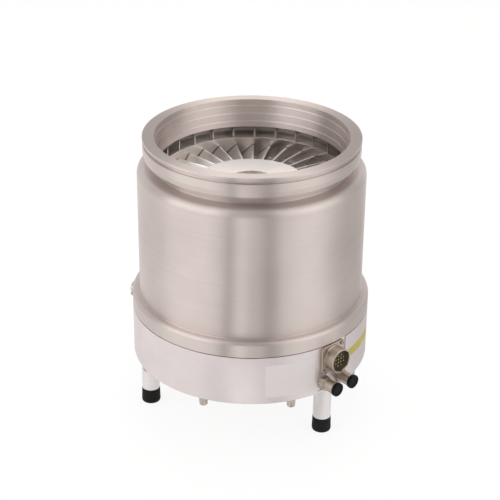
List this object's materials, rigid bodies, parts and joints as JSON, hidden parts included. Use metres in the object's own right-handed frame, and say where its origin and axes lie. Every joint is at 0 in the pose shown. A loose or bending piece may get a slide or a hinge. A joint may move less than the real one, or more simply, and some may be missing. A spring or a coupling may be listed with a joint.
{
  "type": "turbomolecular pump",
  "caption": "Compound turbomolecular vacuum pump with a bladed rotor, drag stage, internal motor, round inlet flange, side foreline port and three feet.",
  "frame": {"origin": "centre of the inlet sealing face", "axes": "+Z points out of the inlet along the rotor axis; the electrical connector faces -Y and the foreline port faces +Y"},
  "size_m": [0.2676, 0.3175, 0.3218],
  "materials": {
    "turned_steel": "fine turned stainless steel, warm grey",
    "base_aluminium": "bead-blasted anodised aluminium",
    "milled_aluminium": "bright milled aluminium",
    "ring_aluminium": "turned aluminium",
    "post_aluminium": "satin anodised aluminium",
    "carbon_sleeve": "wound carbon fibre tube",
    "bright_steel": "stainless fasteners",
    "ground_steel": "ground bearing and shaft steel",
    "ceramic_ball": "polished silicon nitride",
    "lamination_steel": "stacked lamination steel",
    "magnet_steel": "magnet with retaining sleeve",
    "winding_copper": "varnished copper wire",
    "nickel_brass": "nickel-plated brass",
    "contact_gold": "gold-plated contacts",
    "tube_copper": "copper tube",
    "black_rubber": "black rubber",
    "seal_rubber": "fluoroelastomer",
    "black_plastic": "black moulded cap",
    "insert_glass": "dark insulating insert",
    "cage_polymer": "phenolic cage",
    "label_film": "bare white label film",
    "yellow_film": "bare yellow label film",
    "lead_insulation": "insulated motor lead"
  },
  "bodies": {
    "pump_body": {"inlet_casing": "turned_steel", "base_housing": "base_aluminium", "bottom_cover": "base_aluminium", "cover_screws": "bright_steel", "casing_seal": "seal_rubber", "cover_seal": "seal_rubber", "tie_bolts": "bright_steel", "tie_bolt_nuts": "bright_steel", "foot_posts": "post_aluminium", "foot_tips": "black_rubber", "foreline_port": "bright_steel", "rating_label": "label_film", "side_label": "yellow_film", "connector_shell": "nickel_brass", "connector_insert": "insert_glass", "connector_pins": "contact_gold", "connector_screws": "bright_steel", "connector_seal": "seal_rubber", "water_fitting_left": "nickel_brass", "water_fitting_right": "nickel_brass", "cooling_tube": "tube_copper", "vent_valve_body": "bright_steel", "stack_clamp_ring": "ring_aluminium", "drag_stator": "ring_aluminium", "motor_core": "lamination_steel", "motor_windings": "winding_copper", "motor_housing": "ring_aluminium", "lower_bearing_holder": "ring_aluminium", "damper_rings": "seal_rubber", "preload_spring": "ground_steel", "motor_leads": "lead_insulation", "upper_bearing_outer_ring": "ground_steel", "lower_bearing_outer_ring": "ground_steel", "stator_ring_1": "milled_aluminium", "spacer_ring_1": "ring_aluminium", "stator_ring_2": "milled_aluminium", "spacer_ring_2": "ring_aluminium", "stator_ring_3": "milled_aluminium", "spacer_ring_3": "ring_aluminium", "stator_ring_4": "milled_aluminium", "spacer_ring_4": "ring_aluminium", "stator_ring_5": "milled_aluminium", "spacer_ring_5": "ring_aluminium"},
    "rotor_group": {"rotor": "milled_aluminium", "drag_sleeve": "carbon_sleeve", "rotor_shaft": "ground_steel", "rotor_clamp_plate": "bright_steel", "rotor_clamp_screw": "bright_steel", "shaft_nut": "bright_steel", "motor_magnet": "magnet_steel", "upper_bearing_inner_ring": "ground_steel", "lower_bearing_inner_ring": "ground_steel"},
    "upper_ball_train": {"upper_bearing_balls": "ceramic_ball", "upper_bearing_cage": "cage_polymer"},
    "lower_ball_train": {"lower_bearing_balls": "ceramic_ball", "lower_bearing_cage": "cage_polymer"},
    "left_water_cap": {"water_cap_left": "black_plastic"},
    "right_water_cap": {"water_cap_right": "black_plastic"},
    "vent_knob": {"vent_screw": "bright_steel"}
  },
  "joints": [
    {"name": "rotor_spin", "type": "hinge", "parent": "pump_body", "child": "rotor_group", "pos_m": [0, 0, -0.1], "axis": [0, 0, -1], "continuous": true},
    {"name": "upper_train_orbit", "type": "hinge", "parent": "pump_body", "child": "upper_ball_train", "pos_m": [0, 0, -0.0995], "axis": [0, 0, -1], "continuous": true},
    {"name": "lower_train_orbit", "type": "hinge", "parent": "pump_body", "child": "lower_ball_train", "pos_m": [0, 0, -0.1825], "axis": [0, 0, -1], "continuous": true},
    {"name": "left_cap_pull", "type": "slide", "parent": "pump_body", "child": "left_water_cap", "axis": [0, -1, 0], "range_m": [0, 0.014]},
    {"name": "right_cap_pull", "type": "slide", "parent": "pump_body", "child": "right_water_cap", "axis": [0, -1, 0], "range_m": [0, 0.014]},
    {"name": "vent_turn", "type": "hinge", "parent": "pump_body", "child": "vent_knob", "pos_m": [-0.0647, 0.12976, -0.217], "axis": [-0.4462, 0.8949, 0], "range_deg": [0, 720]}
  ],
  "couplings": [
    {"joint": "upper_train_orbit", "follows": "rotor_spin", "ratio": 0.3987},
    {"joint": "lower_train_orbit", "follows": "rotor_spin", "ratio": 0.3987}
  ]
}
